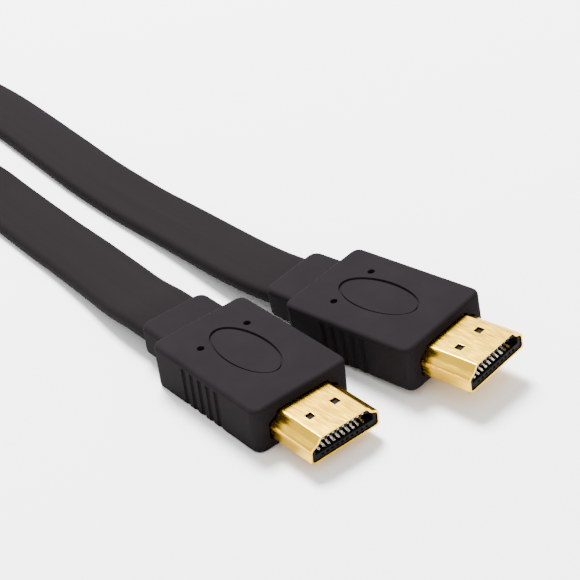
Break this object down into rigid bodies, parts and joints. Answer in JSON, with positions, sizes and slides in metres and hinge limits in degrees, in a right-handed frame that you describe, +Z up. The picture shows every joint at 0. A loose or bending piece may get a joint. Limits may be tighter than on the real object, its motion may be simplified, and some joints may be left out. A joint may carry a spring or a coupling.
{
  "type": "flat hdmi cable",
  "caption": "Flat audio and video cable with a moulded plug on each end: ribbed body, strain relief collar, folded metal shell and sprung contacts; spare length lies coiled.",
  "frame": {"origin": "on the floor under the middle of the two plugs", "axes": "+X forward to the plugs' mouths, +Y from plug A to plug B, +Z up"},
  "size_m": [0.2593, 0.151, 0.0138],
  "materials": {
    "overmould": "matte black moulded vinyl",
    "cable": "matte black vinyl jacket",
    "gold_shell": "bright gold plating",
    "insert": "black moulded carrier",
    "contact": "bright plated spring metal",
    "tie": "black woven strap"
  },
  "bodies": {
    "root": {"plug_a_overmould": "overmould", "plug_a_shell": "gold_shell", "plug_a_insert": "insert", "plug_a_contact_01": "contact", "plug_a_contact_02": "contact", "plug_a_contact_03": "contact", "plug_a_contact_04": "contact", "plug_a_contact_05": "contact", "plug_a_contact_06": "contact", "plug_a_contact_07": "contact", "plug_a_contact_08": "contact", "plug_a_contact_09": "contact", "plug_a_contact_10": "contact", "plug_a_contact_11": "contact", "plug_a_contact_12": "contact", "plug_a_contact_13": "contact", "plug_a_contact_14": "contact", "plug_a_contact_15": "contact", "plug_a_contact_16": "contact", "plug_a_contact_17": "contact", "plug_a_contact_18": "contact", "plug_a_contact_19": "contact", "plug_b_overmould": "overmould", "plug_b_shell": "gold_shell", "plug_b_insert": "insert", "plug_b_contact_01": "contact", "plug_b_contact_02": "contact", "plug_b_contact_03": "contact", "plug_b_contact_04": "contact", "plug_b_contact_05": "contact", "plug_b_contact_06": "contact", "plug_b_contact_07": "contact", "plug_b_contact_08": "contact", "plug_b_contact_09": "contact", "plug_b_contact_10": "contact", "plug_b_contact_11": "contact", "plug_b_contact_12": "contact", "plug_b_contact_13": "contact", "plug_b_contact_14": "contact", "plug_b_contact_15": "contact", "plug_b_contact_16": "contact", "plug_b_contact_17": "contact", "plug_b_contact_18": "contact", "plug_b_contact_19": "contact", "cable_run_a": "cable", "cable_run_b": "cable", "cable_coil": "cable", "cable_tie": "tie"}
  },
  "joints": []
}
